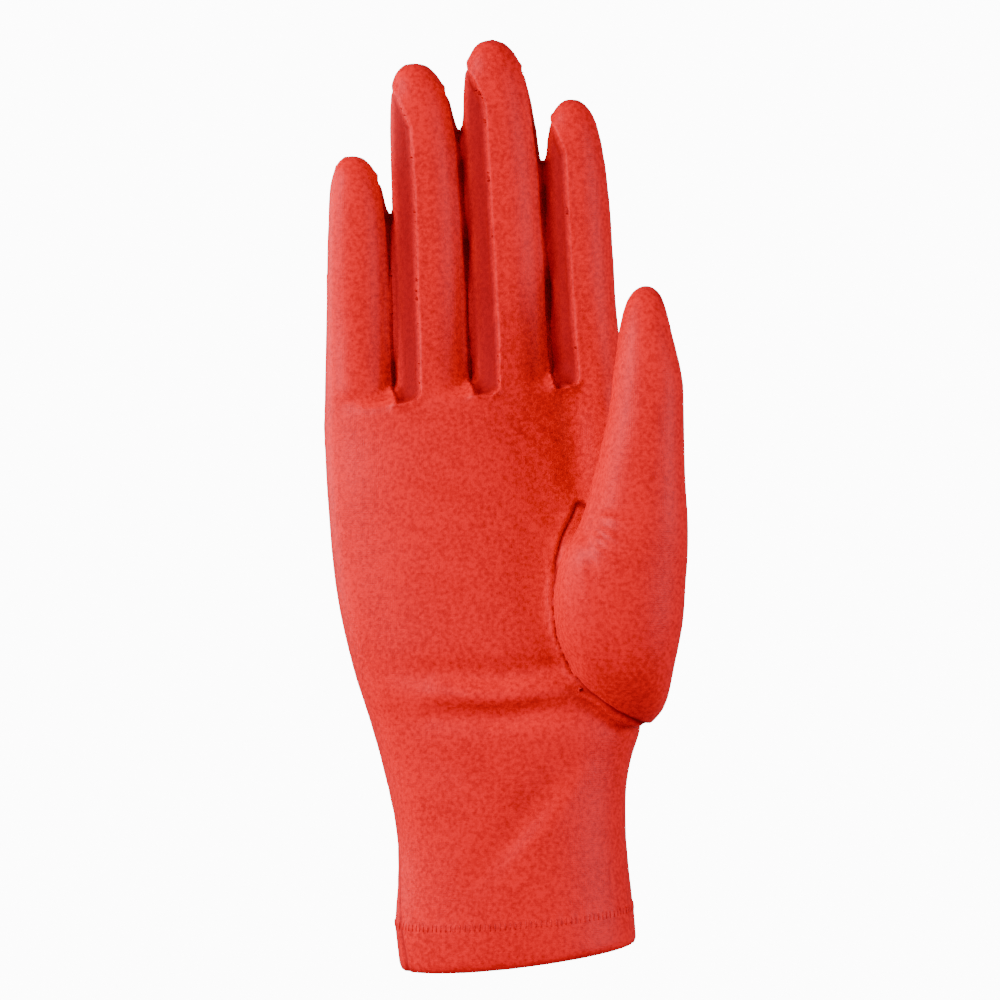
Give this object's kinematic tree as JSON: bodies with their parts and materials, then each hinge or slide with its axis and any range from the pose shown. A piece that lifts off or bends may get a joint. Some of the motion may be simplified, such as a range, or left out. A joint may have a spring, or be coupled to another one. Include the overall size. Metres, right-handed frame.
{
  "type": "wrist length dress glove",
  "caption": "Right-hand dress glove of thin stretch satin that ends at the wrist, with fourchettes between the fingers, a set-in thumb and a turned-up stitched hem.",
  "frame": {"origin": "middle of the wrist opening, level with the lowest point of the hem", "axes": "+Z from the wrist to the fingertips, -Y out of the palm, +X to the thumb side"},
  "size_m": [0.0904, 0.0533, 0.2321],
  "materials": {
    "satin": "bright red stretch satin with a soft sheen and a very fine knit",
    "satin_hem": "the same red satin, turned up and stitched at the cuff",
    "thread": "red sewing thread, a little darker than the satin"
  },
  "bodies": {
    "root": {"palm_panel": "satin", "back_panel": "satin", "fourchette_little_ring": "satin", "fourchette_ring_middle": "satin", "fourchette_middle_index": "satin", "thumb_piece": "satin", "cuff_hem": "satin_hem"}
  },
  "joints": []
}
